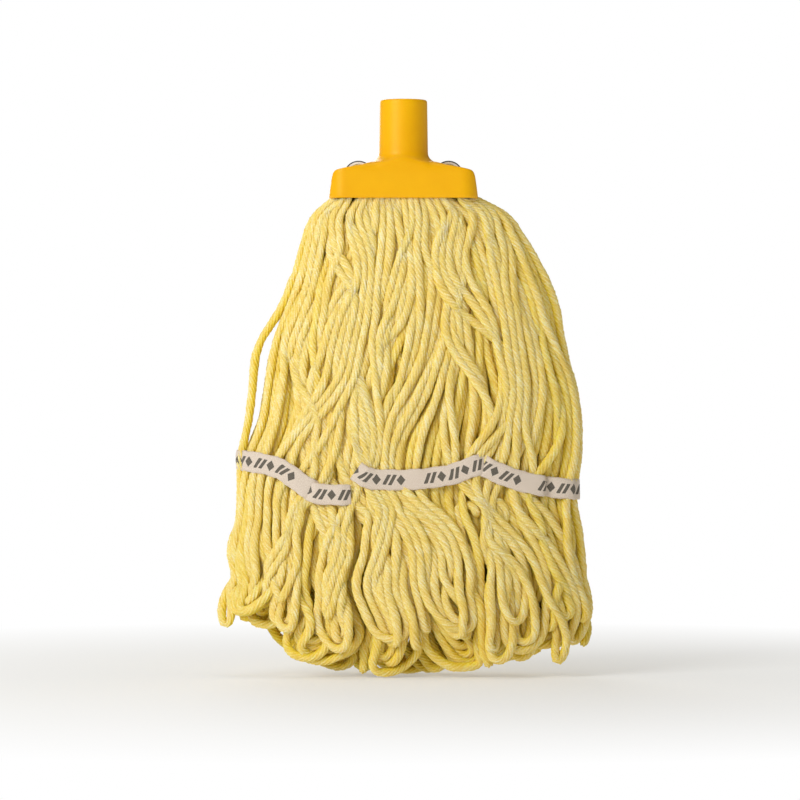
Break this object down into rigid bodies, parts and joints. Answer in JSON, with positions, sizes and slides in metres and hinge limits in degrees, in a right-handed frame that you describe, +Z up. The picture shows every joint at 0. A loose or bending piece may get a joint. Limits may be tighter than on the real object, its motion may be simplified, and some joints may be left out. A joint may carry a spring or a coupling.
{
  "type": "string mop head",
  "caption": "Looped cotton string mop head: yellow moulded T socket for a round handle, pale yellow yarn skirt gathered by a sewn woven tape, hanging in loose loops.",
  "frame": {"origin": "centre of the handle socket's open rim, on the handle's axis", "axes": "+Z up along the handle, out of the socket; -Y is the front, the side away from the clamp screws; +X is to the right seen from the front"},
  "size_m": [0.255, 0.0774, 0.3866],
  "materials": {
    "socket_plastic": "satin moulded polypropylene, warm yellow",
    "zinc_steel": "bright zinc plated",
    "cotton_yarn": "soft twisted cotton yarn, pale yellow",
    "woven_tape": "plain woven cotton tape, off-white, with small dark motifs that are not lettering",
    "sewing_thread": "off-white thread"
  },
  "bodies": {
    "socket": {"socket_shell": "socket_plastic", "rear_clamp_plate": "socket_plastic", "clamp_screw_left": "zinc_steel", "clamp_screw_right": "zinc_steel", "clamp_washer_left": "zinc_steel", "clamp_washer_right": "zinc_steel", "clamp_nut_left": "zinc_steel", "clamp_nut_right": "zinc_steel", "yarn_head": "cotton_yarn", "head_tape": "woven_tape", "head_stitching": "sewing_thread"},
    "skirt": {"yarn_front_left": "cotton_yarn", "yarn_front_right": "cotton_yarn", "yarn_back_left": "cotton_yarn", "yarn_back_right": "cotton_yarn", "stray_strand": "cotton_yarn", "band_tape_front": "woven_tape", "band_tape_back": "woven_tape", "band_stitching": "sewing_thread"},
    "loops_left": {"fringe_left": "cotton_yarn"},
    "loops_mid_left": {"fringe_mid_left": "cotton_yarn"},
    "loops_mid_right": {"fringe_mid_right": "cotton_yarn"},
    "loops_right": {"fringe_right": "cotton_yarn"}
  },
  "joints": [
    {"name": "skirt_swing", "type": "hinge", "parent": "socket", "child": "skirt", "pos_m": [0, 0, -0.0825], "axis": [1, 0, 0], "range_deg": [-45, 45], "stiffness_Nm_per_rad": 0.3},
    {"name": "left_loops_swing", "type": "hinge", "parent": "skirt", "child": "loops_left", "pos_m": [-0.09, 0, -0.281], "axis": [1, 0, 0], "range_deg": [-25, 25], "stiffness_Nm_per_rad": 0.04},
    {"name": "mid_left_loops_swing", "type": "hinge", "parent": "skirt", "child": "loops_mid_left", "pos_m": [-0.05, 0, -0.281], "axis": [1, 0, 0], "range_deg": [-25, 25], "stiffness_Nm_per_rad": 0.04},
    {"name": "mid_right_loops_swing", "type": "hinge", "parent": "skirt", "child": "loops_mid_right", "pos_m": [0.01, 0, -0.281], "axis": [1, 0, 0], "range_deg": [-25, 25], "stiffness_Nm_per_rad": 0.04},
    {"name": "right_loops_swing", "type": "hinge", "parent": "skirt", "child": "loops_right", "pos_m": [0.09, 0, -0.281], "axis": [1, 0, 0], "range_deg": [-25, 25], "stiffness_Nm_per_rad": 0.04}
  ]
}
